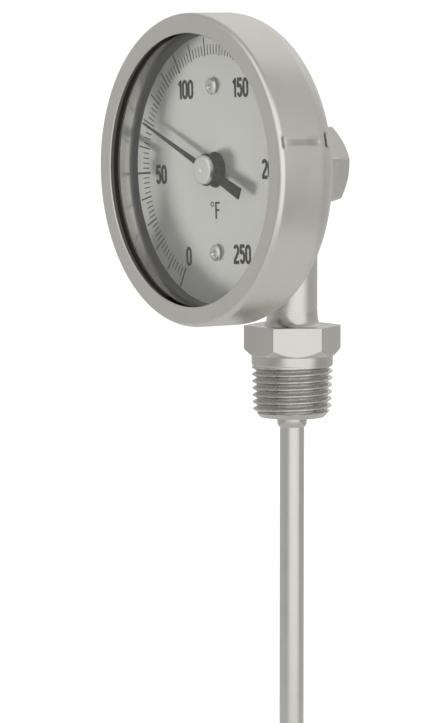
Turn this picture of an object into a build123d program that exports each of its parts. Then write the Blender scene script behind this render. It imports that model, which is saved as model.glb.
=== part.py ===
from build123d import *
import math
import os

# Lower-mount bimetal dial thermometer with a 3 in case, a 1/4 in stem and a
# 1/2-14 NPT process connection. Sizes are in millimetres.
#
# Frame: the stem axis is Z, the dial faces -Y, and the origin is on the stem axis
# at the underside of the wrench hexagon.

os.makedirs("parts", exist_ok=True)

# ------------------------------------------------------------ driving dimensions
DIAL_Z = 49.2  # height of the dial axis above the origin
HEAD_CLOCKING = 2.5  # the head is set this far anticlockwise, seen from the front

# process connection
HEX_AF = 22.225  # 7/8 in
HEX_HEIGHT = 7.9
HEX_CORNER_DROP = 1.8  # height of the chamfer at the lower corners
HEX_FACE_R = 10.95  # radius of the flat underside inside that chamfer
NECK_R = 10.65
NECK_LENGTH = 2.2
THREAD_PITCH = 25.4 / 14
THREAD_LENGTH = 11.9
THREAD_DEPTH = 1.3
THREAD_HALF_ANGLE = 30
THREAD_CUT_MARGIN = 0.12  # the cutting V stands this far proud of the crests
TAPER_PER_SIDE = 1 / 32  # 1 in 16 on the diameter
NOSE_LENGTH = 2.1
NOSE_R = 8.4
WELD_LENGTH = 2.7  # weld collar between the nose and the stem
WELD_TOP_R = 3.9
WELD_END_R = 3.3
SOCKET_FLOOR_Z = 2.9  # the riser stands in a socket in the hexagon
RISER_WELD_LENGTH = 3.6
RISER_WELD_R = 7.6
RISER_WELD_EDGE = 0.15  # thickness of the weld where it runs out on the riser

# stem
STEM_R = 3.175  # 1/4 in sheath
STEM_WALL = 0.5
STEM_LENGTH = 152.4  # 6 in below the end of the thread
TIP_WALL = 1.0
TIP_PLUG_DEPTH = 4.2
TIP_EDGE_R = 0.8

# bimetal coil and shaft
SHAFT_R = 0.8
RUNNING_CLEARANCE = 0.05
SHAFT_END_GAP = 3.0  # between the shaft's foot and the tip plug
COIL_END_GAP = 0.1
COIL_R = 1.95  # middle of the strip
STRIP_THICKNESS = 0.4
STRIP_WIDTH = 2.6
COIL_PITCH = 3.5
COIL_TURNS = 12
COIL_HUB_R = 1.6
COIL_HUB_LENGTH = 5.0
GUIDE_LENGTH = 5.0
GUIDE_TOPS = {"shaft_guide_top": 2.0, "shaft_guide_mid": -52.0, "shaft_guide_low": -104.0}

# riser and elbow
RISER_R = 6.55
RISER_BORE_R = 4.4
BARREL_R = 9.0
BARREL_BORE_R = 7.0
BARREL_REAR_Y = 6.9
ELBOW_HEX_Y = 4.2  # the elbow is hexagonal behind this
BARREL_EDGE = 0.6
SPIGOT_R = 6.0
SPIGOT_LENGTH = 5.0
SHOULDER_WALL = 2.3  # wall between the barrel's bore and its front shoulder
CASE_SEAL_THICKNESS = 0.95
CASE_SEAL_R = 8.6
CAP_SEAL_THICKNESS = 0.8
CAP_SEAL_R = 8.3
CAP_AF = 19.05  # 3/4 in
CAP_HEIGHT = 3.8
CAP_CHAMFER_R = 9.2
CAP_TURN = 12  # the cap's corners stand this far anticlockwise, seen from the front
CAP_SPIGOT_LENGTH = 4.0
CAP_HOLLOW_R = 5.0
CAP_CHAMFER_ANGLE = 30

# flexible coupling
BEND_R = 9.0
COUPLING_R = 1.5
COUPLING_TAIL = 2.6  # straight run that holds each shaft end
SHAFT_ENTRY = 0.6  # each shaft stops this far short of the bend

# head
FRONT_Y = -33.85
BEZEL_R = 40.2
BEZEL_OPENING_R = 35.0
BEZEL_SHEET = 0.9
BEZEL_EDGE_R = 1.4
ROLL_Y = -21.05  # the case's rear edge starts to round over here
ROLL_R = 6.6
ROLL_ANGLE = 60  # the bezel follows that rounding this far, then lies flat on the back
CRIMP_R = 35.3  # inner radius of the flat part
CASE_FIT = 0.1
CASE_WALL = 0.8
CASE_BACK_WALL = 1.0
CASE_RIM_Y = -31.75
CASE_HOLE_R = SPIGOT_R + RUNNING_CLEARANCE
GASKET_R = 38.3
GASKET_BORE_R = 35.4
GASKET_LIP = 0.7
GLASS_R = 37.2
GLASS_THICKNESS = 3.0
SPACER_R = 37.8
SPACER_BORE_R = 36.8
DIAL_R = 34.9
DIAL_THICKNESS = 0.8
DIAL_FRONT_Y = -23.4
DIAL_HOLE_R = 4.6
SCREW_PITCH_R = 21.4
SCREW_R = 1.5
SCREW_HEAD_R = 2.15
SCREW_HEAD_HEIGHT = 1.3
SCREW_SLOT_WIDTH = 0.5
SCREW_SLOT_DEPTH = 0.6
SCREW_LENGTH = 3.2
POST_R = 3.0

# retaining washer and nut on the spigot
WASHER_R = 9.5
WASHER_THICKNESS = 0.7
NUT_AF = 17.0
NUT_HEIGHT = 2.2

# pointer, read at rest on a scale of 0 to 250 degrees F over 300 degrees of arc
REST_READING = 70
DEGREES_PER_UNIT = 300 / 250
ZERO_ANGLE = 240  # the scale's zero, anticlockwise from the right
POINTER_THICKNESS = 0.5
POINTER_TIP = 30.9
POINTER_TIP_WIDTH = 0.4
POINTER_ROOT_WIDTH = 1.6
TAIL_LENGTH = 15.35
TAIL_END_WIDTH = 3.0
TAIL_ROOT_WIDTH = 2.2
POINTER_DISC_R = 4.15
HUB_R = 3.7
HUB_THICKNESS = 1.6
HUB_DIMPLE_R = 0.9
HUB_DIMPLE_DEPTH = 0.25
HUB_EDGE = 0.2
HUB_FRONT_Y = -27.85
HUB_BOSS_R = 1.5
COLLAR_R = 2.0
COLLAR_LENGTH = 1.1
BEARING_R = 3.0
BEARING_NOSE_R = 2.5
BEARING_FLANGE_R = 4.5
BEARING_FLANGE = 1.0
BEARING_END_Y = -24.5

# ------------------------------------------------------------ derived places
THREAD_TOP_Z = -NECK_LENGTH
THREAD_BOTTOM_Z = THREAD_TOP_Z - THREAD_LENGTH
NOSE_Z = THREAD_BOTTOM_Z - NOSE_LENGTH
WELD_END_Z = NOSE_Z - WELD_LENGTH
STEM_TIP_Z = NOSE_Z - STEM_LENGTH
STEM_BORE_R = STEM_R - STEM_WALL
PLUG_TOP_Z = STEM_TIP_Z + TIP_PLUG_DEPTH
BUSH_BORE_R = SHAFT_R + RUNNING_CLEARANCE
COIL_LENGTH = COIL_TURNS * COIL_PITCH
COIL_BOTTOM_Z = PLUG_TOP_Z + STRIP_WIDTH / 2 + COIL_END_GAP
COIL_TOP_Z = COIL_BOTTOM_Z + COIL_LENGTH
SHAFT_BOTTOM_Z = PLUG_TOP_Z + SHAFT_END_GAP
SHAFT_TOP_Z = DIAL_Z - BEND_R - SHAFT_ENTRY
ROLL_CENTRE_R = BEZEL_R - ROLL_R
CASE_R = BEZEL_R - BEZEL_SHEET - CASE_FIT
CRIMP_Y = ROLL_Y + ROLL_R * math.sin(math.radians(ROLL_ANGLE))
CASE_BACK_Y = CRIMP_Y - BEZEL_SHEET
CASE_FLOOR_Y = CASE_BACK_Y - CASE_BACK_WALL
SHOULDER_Y = CASE_BACK_Y + RUNNING_CLEARANCE + CASE_SEAL_THICKNESS
SPIGOT_END_Y = SHOULDER_Y - SPIGOT_LENGTH
BORE_FLOOR_Y = SHOULDER_Y + SHOULDER_WALL
GASKET_FRONT_Y = FRONT_Y + BEZEL_SHEET
GLASS_FRONT_Y = GASKET_FRONT_Y + GASKET_LIP
GLASS_BACK_Y = GLASS_FRONT_Y + GLASS_THICKNESS
GASKET_BACK_Y = GLASS_BACK_Y + GASKET_LIP
DIAL_BACK_Y = DIAL_FRONT_Y + DIAL_THICKNESS
BLADE_FRONT_Y = HUB_FRONT_Y + HUB_THICKNESS
BLADE_BACK_Y = BLADE_FRONT_Y + POINTER_THICKNESS
COLLAR_BACK_Y = BLADE_BACK_Y + COLLAR_LENGTH
CAP_FRONT_Y = BARREL_REAR_Y + CAP_SEAL_THICKNESS
CAP_REAR_Y = CAP_FRONT_Y + CAP_HEIGHT
POINTER_ANGLE = ZERO_ANGLE - REST_READING * DEGREES_PER_UNIT + HEAD_CLOCKING

# The dial axis, and a plane through it in which x is Y and y is the radius.
DIAL_AXIS = Axis((0, 0, DIAL_Z), (0, 1, 0))
HEAD_SECTION = Plane(origin=(0, 0, DIAL_Z), x_dir=(0, 1, 0), z_dir=(1, 0, 0))

BOTTOM = (Align.CENTER, Align.CENTER, Align.MIN)


def facing_plane(y, turn=0):
    """A plane across the dial axis at y, seen from the front, turned anticlockwise."""
    right = (math.cos(math.radians(turn)), 0, math.sin(math.radians(turn)))
    return Plane(origin=(0, y, DIAL_Z), x_dir=right, z_dir=(0, -1, 0))


def save(piece, label):
    """Label a finished piece and write its STEP file."""
    piece.part.label = label
    export_step(piece.part, f"parts/{label}.step")


# ------------------------------------------------------------ process connection
with BuildPart() as process_connection:
    with BuildSketch(Plane.XY):
        RegularPolygon(radius=HEX_AF / math.sqrt(3), side_count=6)
    extrude(amount=HEX_HEIGHT)
    corner_r = HEX_AF / math.sqrt(3)
    with BuildSketch(Plane.XZ):
        with BuildLine():
            Polyline(
                (0, 0),
                (HEX_FACE_R, 0),
                (corner_r, HEX_CORNER_DROP),
                (corner_r, HEX_HEIGHT),
                (0, HEX_HEIGHT),
                close=True,
            )
        make_face()
    revolve(axis=Axis.Z, mode=Mode.INTERSECT)
    with BuildSketch(Plane.XZ):
        with BuildLine():
            Polyline(
                (0, 0),
                (NECK_R, 0),
                (NECK_R, THREAD_TOP_Z),
                (NECK_R - THREAD_LENGTH * TAPER_PER_SIDE, THREAD_BOTTOM_Z),
                (NOSE_R, NOSE_Z),
                (WELD_TOP_R, NOSE_Z),
                (WELD_END_R, WELD_END_Z),
                (0, WELD_END_Z),
                close=True,
            )
        make_face()
    revolve(axis=Axis.Z)
    # thread groove: a 60 degree V on a conical helix
    groove_start_z = THREAD_BOTTOM_Z - NOSE_LENGTH
    groove_start_r = NECK_R - (THREAD_TOP_Z - groove_start_z) * TAPER_PER_SIDE
    groove_half_width = (THREAD_DEPTH + THREAD_CUT_MARGIN) * math.tan(math.radians(THREAD_HALF_ANGLE))
    with BuildLine() as groove_path:
        Helix(
            pitch=THREAD_PITCH,
            height=THREAD_TOP_Z - groove_start_z - THREAD_PITCH / 4,
            radius=groove_start_r,
            center=(0, 0, groove_start_z),
            cone_angle=math.degrees(math.atan(TAPER_PER_SIDE)),
        )
    with BuildSketch(Plane.XZ):
        with BuildLine():
            Polyline(
                (groove_start_r - THREAD_DEPTH, groove_start_z),
                (groove_start_r + THREAD_CUT_MARGIN, groove_start_z + groove_half_width),
                (groove_start_r + THREAD_CUT_MARGIN, groove_start_z - groove_half_width),
                close=True,
            )
        make_face()
    sweep(path=groove_path.line, is_frenet=True, mode=Mode.SUBTRACT)
    # bore in line with the stem's, and socket for the riser
    with Locations((0, 0, WELD_END_Z)):
        Cylinder(STEM_BORE_R, SOCKET_FLOOR_Z - WELD_END_Z, align=BOTTOM, mode=Mode.SUBTRACT)
    with Locations((0, 0, SOCKET_FLOOR_Z)):
        Cylinder(RISER_R, HEX_HEIGHT - SOCKET_FLOOR_Z, align=BOTTOM, mode=Mode.SUBTRACT)
    # weld round the foot of the riser
    with BuildSketch(Plane.XZ):
        with BuildLine():
            Polyline(
                (RISER_R, HEX_HEIGHT),
                (RISER_WELD_R, HEX_HEIGHT),
                (RISER_R + RISER_WELD_EDGE, HEX_HEIGHT + RISER_WELD_LENGTH),
                (RISER_R, HEX_HEIGHT + RISER_WELD_LENGTH),
                close=True,
            )
        make_face()
    revolve(axis=Axis.Z)
save(process_connection, "process_connection")

# ------------------------------------------------------------ stem
# The sheath is butt welded to the end of the fitting's collar.
with BuildPart() as stem_tube:
    sheath_length = WELD_END_Z - STEM_TIP_Z - TIP_WALL
    with Locations((0, 0, STEM_TIP_Z + TIP_WALL)):
        Cylinder(STEM_R, sheath_length, align=BOTTOM)
        Cylinder(STEM_BORE_R, sheath_length, align=BOTTOM, mode=Mode.SUBTRACT)
save(stem_tube, "stem_tube")

with BuildPart() as stem_tip_plug:
    with Locations((0, 0, STEM_TIP_Z)):
        Cylinder(STEM_R, TIP_WALL, align=BOTTOM)
        Cylinder(STEM_BORE_R, TIP_PLUG_DEPTH, align=BOTTOM)
    fillet(stem_tip_plug.edges().group_by(Axis.Z)[0], radius=TIP_EDGE_R)
save(stem_tip_plug, "stem_tip_plug")

with BuildPart() as bimetal_coil:
    with BuildLine() as coil_path:
        Helix(pitch=COIL_PITCH, height=COIL_LENGTH, radius=COIL_R, center=(0, 0, COIL_BOTTOM_Z))
    with BuildSketch(Plane.XZ):
        with Locations((COIL_R, COIL_BOTTOM_Z)):
            Rectangle(STRIP_THICKNESS, STRIP_WIDTH)
    sweep(path=coil_path.line, is_frenet=True)
save(bimetal_coil, "bimetal_coil")

for guide_name, guide_top_z in GUIDE_TOPS.items():
    with BuildPart() as shaft_guide:
        with Locations((0, 0, guide_top_z - GUIDE_LENGTH)):
            Cylinder(STEM_BORE_R, GUIDE_LENGTH, align=BOTTOM)
            Cylinder(BUSH_BORE_R, GUIDE_LENGTH, align=BOTTOM, mode=Mode.SUBTRACT)
    save(shaft_guide, guide_name)

# ------------------------------------------------------------ stem shaft
with BuildPart() as stem_shaft:
    with Locations((0, 0, SHAFT_BOTTOM_Z)):
        Cylinder(SHAFT_R, SHAFT_TOP_Z - SHAFT_BOTTOM_Z, align=BOTTOM)
save(stem_shaft, "stem_shaft")

with BuildPart() as coil_hub:
    with Locations((0, 0, COIL_TOP_Z - STRIP_WIDTH / 2)):
        Cylinder(COIL_HUB_R, COIL_HUB_LENGTH, align=BOTTOM)
        Cylinder(SHAFT_R, COIL_HUB_LENGTH, align=BOTTOM, mode=Mode.SUBTRACT)
save(coil_hub, "coil_hub")

# ------------------------------------------------------------ riser and elbow
# The elbow's rear and the cap are one hexagon, turned about the dial axis.
def cap_hexagon(y):
    """The outline of the cap's hexagon at y."""
    with BuildSketch(facing_plane(y, CAP_TURN)) as outline:
        RegularPolygon(radius=CAP_AF / math.sqrt(3), side_count=6)
    return outline.sketch


with BuildPart() as riser_tube:
    with Locations((0, 0, SOCKET_FLOOR_Z)):
        Cylinder(RISER_R, DIAL_Z - SOCKET_FLOOR_Z, align=BOTTOM)
        Cylinder(RISER_BORE_R, DIAL_Z - SOCKET_FLOOR_Z, align=BOTTOM, mode=Mode.SUBTRACT)
    # coped top, which fits the elbow
    with Locations(Location((0, 0, DIAL_Z), (90, 0, 0))):
        Cylinder(BARREL_R, 4 * BARREL_R, mode=Mode.SUBTRACT)
    extrude(cap_hexagon(CAP_FRONT_Y), amount=CAP_FRONT_Y - ELBOW_HEX_Y, mode=Mode.SUBTRACT)
save(riser_tube, "riser_tube")

with BuildPart() as elbow_body:
    with BuildSketch(HEAD_SECTION):
        with BuildLine():
            Polyline(
                (CAP_FRONT_Y, BARREL_BORE_R),
                (CAP_FRONT_Y, BARREL_R),
                (SHOULDER_Y + BARREL_EDGE, BARREL_R),
                (SHOULDER_Y, BARREL_R - BARREL_EDGE),
                (SHOULDER_Y, SPIGOT_R),
                (SPIGOT_END_Y, SPIGOT_R),
                (SPIGOT_END_Y, BEARING_R),
                (BORE_FLOOR_Y, BEARING_R),
                (BORE_FLOOR_Y, BARREL_BORE_R),
                close=True,
            )
        make_face()
    revolve(axis=DIAL_AXIS)
    extrude(cap_hexagon(CAP_FRONT_Y), amount=CAP_FRONT_Y - ELBOW_HEX_Y)
    with BuildSketch(facing_plane(CAP_FRONT_Y)):
        Circle(BARREL_BORE_R)
    extrude(amount=CAP_FRONT_Y - ELBOW_HEX_Y, mode=Mode.SUBTRACT)
    with BuildSketch(facing_plane(CAP_FRONT_Y)):
        Circle(CAP_SEAL_R)
    extrude(amount=CAP_SEAL_THICKNESS, mode=Mode.SUBTRACT)
    with Locations((0, 0, DIAL_Z - 2 * BARREL_R)):
        Cylinder(RISER_BORE_R, 2 * BARREL_R, align=BOTTOM, mode=Mode.SUBTRACT)
save(elbow_body, "elbow_body")

with BuildPart() as rear_hex_cap:
    extrude(cap_hexagon(CAP_REAR_Y), amount=CAP_HEIGHT)
    cap_corner_r = CAP_AF / math.sqrt(3)
    cap_corner_drop = (cap_corner_r - CAP_CHAMFER_R) * math.tan(math.radians(CAP_CHAMFER_ANGLE))
    with BuildSketch(HEAD_SECTION):
        with BuildLine():
            Polyline(
                (CAP_FRONT_Y, 0),
                (CAP_FRONT_Y, cap_corner_r),
                (CAP_REAR_Y - cap_corner_drop, cap_corner_r),
                (CAP_REAR_Y, CAP_CHAMFER_R),
                (CAP_REAR_Y, 0),
                close=True,
            )
        make_face()
    revolve(axis=DIAL_AXIS, mode=Mode.INTERSECT)
    with BuildSketch(facing_plane(CAP_FRONT_Y)):
        Circle(BARREL_BORE_R)
    extrude(amount=CAP_SPIGOT_LENGTH + CAP_SEAL_THICKNESS)
    with BuildSketch(facing_plane(CAP_FRONT_Y)):
        Circle(CAP_HOLLOW_R)
    extrude(amount=CAP_SPIGOT_LENGTH + CAP_SEAL_THICKNESS, mode=Mode.SUBTRACT)
save(rear_hex_cap, "rear_hex_cap")


def washer(y_rear, thickness, outer_r, inner_r):
    """A flat ring on the dial axis, from y_rear towards the front."""
    with BuildPart() as ring:
        with BuildSketch(facing_plane(y_rear)):
            Circle(outer_r)
            Circle(inner_r, mode=Mode.SUBTRACT)
        extrude(amount=thickness)
    return ring


cap_seal = washer(CAP_FRONT_Y, CAP_SEAL_THICKNESS, CAP_SEAL_R, BARREL_BORE_R)
save(cap_seal, "cap_seal")

case_seal = washer(SHOULDER_Y, CASE_SEAL_THICKNESS, CASE_SEAL_R, SPIGOT_R)
save(case_seal, "case_seal")

washer_rear_y = CASE_FLOOR_Y - RUNNING_CLEARANCE
wave_washer = washer(washer_rear_y, WASHER_THICKNESS, WASHER_R, SPIGOT_R)
save(wave_washer, "wave_washer")

with BuildPart() as retaining_nut:
    with BuildSketch(facing_plane(washer_rear_y - WASHER_THICKNESS)):
        RegularPolygon(radius=NUT_AF / math.sqrt(3), side_count=6)
        Circle(SPIGOT_R, mode=Mode.SUBTRACT)
    extrude(amount=NUT_HEIGHT)
save(retaining_nut, "retaining_nut")

with BuildPart() as pointer_bearing:
    with BuildSketch(HEAD_SECTION):
        with BuildLine():
            Polyline(
                (BORE_FLOOR_Y + BEARING_FLANGE, BUSH_BORE_R),
                (BORE_FLOOR_Y + BEARING_FLANGE, BEARING_FLANGE_R),
                (BORE_FLOOR_Y, BEARING_FLANGE_R),
                (BORE_FLOOR_Y, BEARING_R),
                (SPIGOT_END_Y, BEARING_R),
                (SPIGOT_END_Y, BEARING_NOSE_R),
                (BEARING_END_Y, BEARING_NOSE_R),
                (BEARING_END_Y, BUSH_BORE_R),
                close=True,
            )
        make_face()
    revolve(axis=DIAL_AXIS)
save(pointer_bearing, "pointer_bearing")

# The coupling runs up the stem axis, round the bend and out along the dial axis.
with BuildPart() as flexible_coupling:
    with BuildLine() as coupling_path:
        Polyline(
            (0, 0, DIAL_Z - BEND_R - COUPLING_TAIL),
            (0, 0, DIAL_Z - BEND_R),
        )
        TangentArc((0, 0, DIAL_Z - BEND_R), (0, -BEND_R, DIAL_Z), tangent=(0, 0, 1))
        Line((0, -BEND_R, DIAL_Z), (0, -BEND_R - COUPLING_TAIL, DIAL_Z))
    with BuildSketch(Plane.XY.offset(DIAL_Z - BEND_R - COUPLING_TAIL)):
        Circle(COUPLING_R)
        Circle(BUSH_BORE_R, mode=Mode.SUBTRACT)
    sweep(path=coupling_path.line)
save(flexible_coupling, "flexible_coupling")

# ------------------------------------------------------------ head
# The bezel, the case's outside and its inside round over about one centre.
def roll_point(arc_r, angle):
    """The point on the rear rounding of radius arc_r, angle degrees round from the wall."""
    turn = math.radians(angle)
    return (ROLL_Y + arc_r * math.sin(turn), ROLL_CENTRE_R + arc_r * math.cos(turn))


def roll_angle(arc_r, y):
    """How far round the rear rounding of radius arc_r lies at y, in degrees."""
    return math.degrees(math.asin((y - ROLL_Y) / arc_r))


def roll_arc(arc_r, angle):
    """Draw the rear rounding of radius arc_r from the wall to angle."""
    ThreePointArc(roll_point(arc_r, 0), roll_point(arc_r, angle / 2), roll_point(arc_r, angle))


with BuildPart() as bezel_ring:
    inner_roll_r = ROLL_R - BEZEL_SHEET
    inner_roll_angle = roll_angle(inner_roll_r, CASE_BACK_Y)
    with BuildSketch(HEAD_SECTION):
        with BuildLine():
            roll_arc(ROLL_R, ROLL_ANGLE)
            Polyline(
                roll_point(ROLL_R, ROLL_ANGLE),
                (CRIMP_Y, CRIMP_R),
                (CASE_BACK_Y, CRIMP_R),
                roll_point(inner_roll_r, inner_roll_angle),
            )
            roll_arc(inner_roll_r, inner_roll_angle)
            Polyline(
                roll_point(inner_roll_r, 0),
                (GASKET_FRONT_Y, BEZEL_R - BEZEL_SHEET),
                (GASKET_FRONT_Y, BEZEL_OPENING_R),
                (FRONT_Y, BEZEL_OPENING_R),
                (FRONT_Y, BEZEL_R - BEZEL_EDGE_R),
            )
            RadiusArc((FRONT_Y, BEZEL_R - BEZEL_EDGE_R), (FRONT_Y + BEZEL_EDGE_R, BEZEL_R), BEZEL_EDGE_R)
            Line((FRONT_Y + BEZEL_EDGE_R, BEZEL_R), roll_point(ROLL_R, 0))
        make_face()
    revolve(axis=DIAL_AXIS)
save(bezel_ring, "bezel_ring")

with BuildPart() as case_cup:
    outside_roll_r = CASE_R - ROLL_CENTRE_R
    outside_roll_angle = roll_angle(outside_roll_r, CASE_BACK_Y)
    inside_roll_r = outside_roll_r - CASE_WALL
    inside_roll_angle = roll_angle(inside_roll_r, CASE_FLOOR_Y)
    with BuildSketch(HEAD_SECTION):
        with BuildLine():
            roll_arc(outside_roll_r, outside_roll_angle)
            Polyline(
                roll_point(outside_roll_r, outside_roll_angle),
                (CASE_BACK_Y, CASE_HOLE_R),
                (CASE_FLOOR_Y, CASE_HOLE_R),
                roll_point(inside_roll_r, inside_roll_angle),
            )
            roll_arc(inside_roll_r, inside_roll_angle)
            Polyline(
                roll_point(inside_roll_r, 0),
                (CASE_RIM_Y, CASE_R - CASE_WALL),
                (CASE_RIM_Y, CASE_R),
                roll_point(outside_roll_r, 0),
            )
        make_face()
    revolve(axis=DIAL_AXIS)
save(case_cup, "case_cup")

with BuildPart() as window_gasket:
    with BuildSketch(HEAD_SECTION):
        with BuildLine():
            Polyline(
                (GASKET_FRONT_Y, GASKET_BORE_R),
                (GASKET_FRONT_Y, GASKET_R),
                (GASKET_BACK_Y, GASKET_R),
                (GASKET_BACK_Y, GASKET_BORE_R),
                (GLASS_BACK_Y, GASKET_BORE_R),
                (GLASS_BACK_Y, GLASS_R),
                (GLASS_FRONT_Y, GLASS_R),
                (GLASS_FRONT_Y, GASKET_BORE_R),
                close=True,
            )
        make_face()
    revolve(axis=DIAL_AXIS)
save(window_gasket, "window_gasket")

with BuildPart() as window_glass:
    with BuildSketch(facing_plane(GLASS_BACK_Y)):
        Circle(GLASS_R)
    extrude(amount=GLASS_THICKNESS)
save(window_glass, "window_glass")

# The spacer's rear edge stands in the rounded corner of the case.
spacer_across = SPACER_R + RUNNING_CLEARANCE - ROLL_CENTRE_R
spacer_rear_y = ROLL_Y + math.sqrt(inside_roll_r**2 - spacer_across**2) - RUNNING_CLEARANCE
spacer_ring = washer(spacer_rear_y, spacer_rear_y - GASKET_BACK_Y, SPACER_R, SPACER_BORE_R)
save(spacer_ring, "spacer_ring")

SCREW_PLACES = [(0, SCREW_PITCH_R), (0, -SCREW_PITCH_R)]

with BuildPart() as dial_plate:
    with BuildSketch(facing_plane(DIAL_BACK_Y, HEAD_CLOCKING)):
        Circle(DIAL_R)
        Circle(DIAL_HOLE_R, mode=Mode.SUBTRACT)
        with Locations(*SCREW_PLACES):
            Circle(SCREW_R, mode=Mode.SUBTRACT)
    extrude(amount=DIAL_THICKNESS)
save(dial_plate, "dial_plate")

with BuildPart() as dial_screws:
    with BuildSketch(facing_plane(DIAL_FRONT_Y + SCREW_LENGTH, HEAD_CLOCKING)):
        with Locations(*SCREW_PLACES):
            Circle(SCREW_R)
    extrude(amount=SCREW_LENGTH)
    with BuildSketch(facing_plane(DIAL_FRONT_Y, HEAD_CLOCKING)):
        with Locations(*SCREW_PLACES):
            Circle(SCREW_HEAD_R)
    extrude(amount=SCREW_HEAD_HEIGHT)
    fillet(dial_screws.edges().group_by(Axis.Y)[0], radius=SCREW_HEAD_HEIGHT / 2)
    with BuildSketch(facing_plane(DIAL_FRONT_Y - SCREW_HEAD_HEIGHT + SCREW_SLOT_DEPTH, HEAD_CLOCKING)):
        with Locations(*SCREW_PLACES):
            Rectangle(2 * SCREW_HEAD_R, SCREW_SLOT_WIDTH)
    extrude(amount=SCREW_SLOT_DEPTH, mode=Mode.SUBTRACT)
save(dial_screws, "dial_screws")

with BuildPart() as dial_posts:
    with BuildSketch(facing_plane(CASE_FLOOR_Y, HEAD_CLOCKING)):
        with Locations(*SCREW_PLACES):
            Circle(POST_R)
            Circle(SCREW_R, mode=Mode.SUBTRACT)
    extrude(amount=CASE_FLOOR_Y - DIAL_BACK_Y)
save(dial_posts, "dial_posts")

# ------------------------------------------------------------ pointer
# Drawn with its tip along the sketch's x axis, which is turned to the reading.
with BuildPart() as pointer_blade:
    with BuildSketch(facing_plane(BLADE_BACK_Y, POINTER_ANGLE)):
        with BuildLine():
            Polyline(
                (0, POINTER_ROOT_WIDTH / 2),
                (POINTER_TIP, POINTER_TIP_WIDTH / 2),
                (POINTER_TIP, -POINTER_TIP_WIDTH / 2),
                (0, -POINTER_ROOT_WIDTH / 2),
                close=True,
            )
        make_face()
        with BuildLine():
            Polyline(
                (0, TAIL_ROOT_WIDTH / 2),
                (-TAIL_LENGTH, TAIL_END_WIDTH / 2),
                (-TAIL_LENGTH, -TAIL_END_WIDTH / 2),
                (0, -TAIL_ROOT_WIDTH / 2),
                close=True,
            )
        make_face()
        Circle(POINTER_DISC_R)
        Circle(HUB_BOSS_R, mode=Mode.SUBTRACT)
    extrude(amount=POINTER_THICKNESS)
save(pointer_blade, "pointer_blade")

with BuildPart() as pointer_hub:
    with BuildSketch(HEAD_SECTION):
        with BuildLine():
            shaft_end_y = HUB_FRONT_Y + HUB_THICKNESS / 2
            Polyline(
                (shaft_end_y, 0),
                (shaft_end_y, SHAFT_R),
                (BLADE_BACK_Y, SHAFT_R),
                (BLADE_BACK_Y, HUB_BOSS_R),
                (BLADE_FRONT_Y, HUB_BOSS_R),
                (BLADE_FRONT_Y, HUB_R),
                (HUB_FRONT_Y + HUB_EDGE, HUB_R),
                (HUB_FRONT_Y, HUB_R - HUB_EDGE),
                (HUB_FRONT_Y, HUB_DIMPLE_R),
                (HUB_FRONT_Y + HUB_DIMPLE_DEPTH, 0),
                close=True,
            )
        make_face()
    revolve(axis=DIAL_AXIS)
save(pointer_hub, "pointer_hub")

pointer_collar = washer(COLLAR_BACK_Y, COLLAR_LENGTH, COLLAR_R, SHAFT_R)
save(pointer_collar, "pointer_collar")

with BuildPart() as pointer_shaft:
    with BuildSketch(facing_plane(-BEND_R - SHAFT_ENTRY)):
        Circle(SHAFT_R)
    extrude(amount=-BEND_R - SHAFT_ENTRY - HUB_FRONT_Y - HUB_THICKNESS / 2)
save(pointer_shaft, "pointer_shaft")
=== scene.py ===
"""Looks of a lower-mount bimetal dial thermometer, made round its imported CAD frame.

Shapes are worked out in millimetres and written in metres. The stem axis is Z, and the dial
faces -Y. Angles round the dial run anticlockwise from +X, as the reader sees them.
"""

import math

import bmesh
import bpy
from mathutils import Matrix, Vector


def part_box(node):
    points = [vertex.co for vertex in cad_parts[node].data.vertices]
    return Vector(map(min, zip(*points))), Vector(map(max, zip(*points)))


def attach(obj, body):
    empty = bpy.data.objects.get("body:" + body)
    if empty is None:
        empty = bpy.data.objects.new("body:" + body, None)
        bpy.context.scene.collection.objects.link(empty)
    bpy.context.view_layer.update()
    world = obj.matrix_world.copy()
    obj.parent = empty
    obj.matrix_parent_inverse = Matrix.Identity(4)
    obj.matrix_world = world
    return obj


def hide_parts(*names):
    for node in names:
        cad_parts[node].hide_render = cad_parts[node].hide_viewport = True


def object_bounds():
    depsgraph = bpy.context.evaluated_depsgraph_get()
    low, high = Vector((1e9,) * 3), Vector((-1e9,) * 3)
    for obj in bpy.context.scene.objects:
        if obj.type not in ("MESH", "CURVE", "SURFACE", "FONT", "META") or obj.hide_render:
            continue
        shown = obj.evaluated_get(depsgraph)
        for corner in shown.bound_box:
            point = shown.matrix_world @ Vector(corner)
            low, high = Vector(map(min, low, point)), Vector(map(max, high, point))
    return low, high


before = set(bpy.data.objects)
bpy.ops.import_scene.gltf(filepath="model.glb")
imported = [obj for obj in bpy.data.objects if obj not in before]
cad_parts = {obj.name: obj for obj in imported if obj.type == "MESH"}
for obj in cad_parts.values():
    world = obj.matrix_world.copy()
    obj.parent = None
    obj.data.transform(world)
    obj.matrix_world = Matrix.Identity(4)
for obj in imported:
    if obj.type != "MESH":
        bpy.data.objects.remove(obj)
cad_low, cad_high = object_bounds()

MM = 0.001


def box_mm(node):
    """Lowest and highest corner of a CAD node, in millimetres."""
    low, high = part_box(node)
    return low / MM, high / MM


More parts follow.
